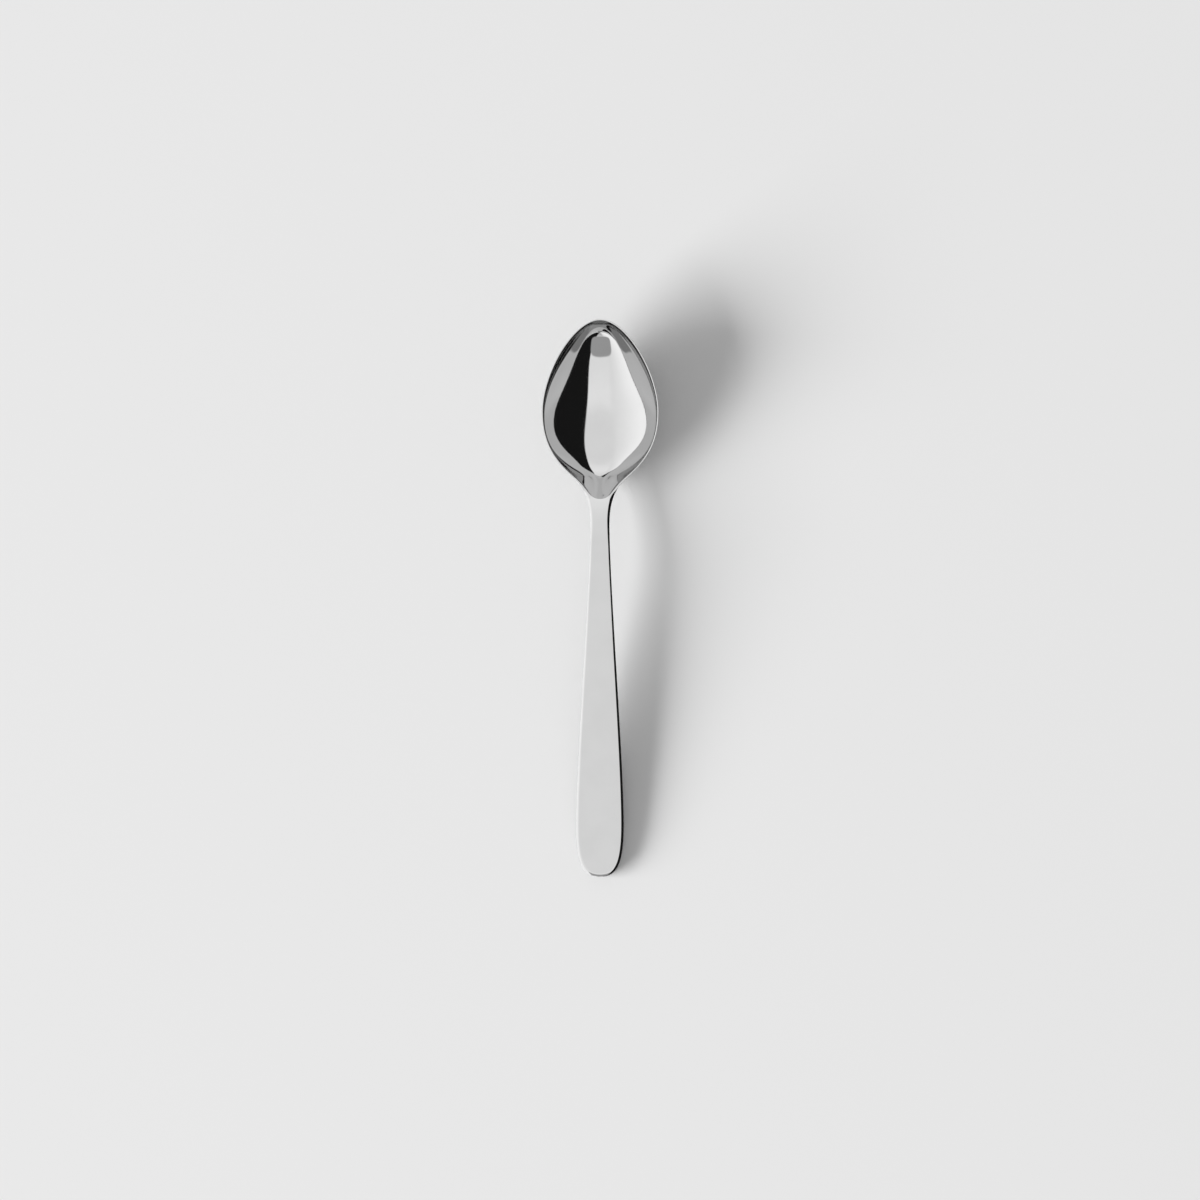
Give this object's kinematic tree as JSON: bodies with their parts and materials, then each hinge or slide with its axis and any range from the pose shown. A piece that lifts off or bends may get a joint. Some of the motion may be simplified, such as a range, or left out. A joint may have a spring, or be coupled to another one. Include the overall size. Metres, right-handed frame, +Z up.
{
  "type": "teaspoon",
  "caption": "Polished steel teaspoon with a flat tapered handle, arched neck and thin egg-shaped bowl",
  "frame": {"origin": "On the table, halfway along the spoon and on its centre line, below the underside's lowest level", "axes": "+X to the right seen from above with the bowl ahead, +Y from the handle's end to the bowl's tip, +Z up"},
  "size_m": [0.0294, 0.14, 0.0152],
  "materials": {
    "polished_steel": "mirror-polished stainless steel"
  },
  "bodies": {
    "root": {"handle": "polished_steel", "bowl": "polished_steel"}
  },
  "joints": []
}
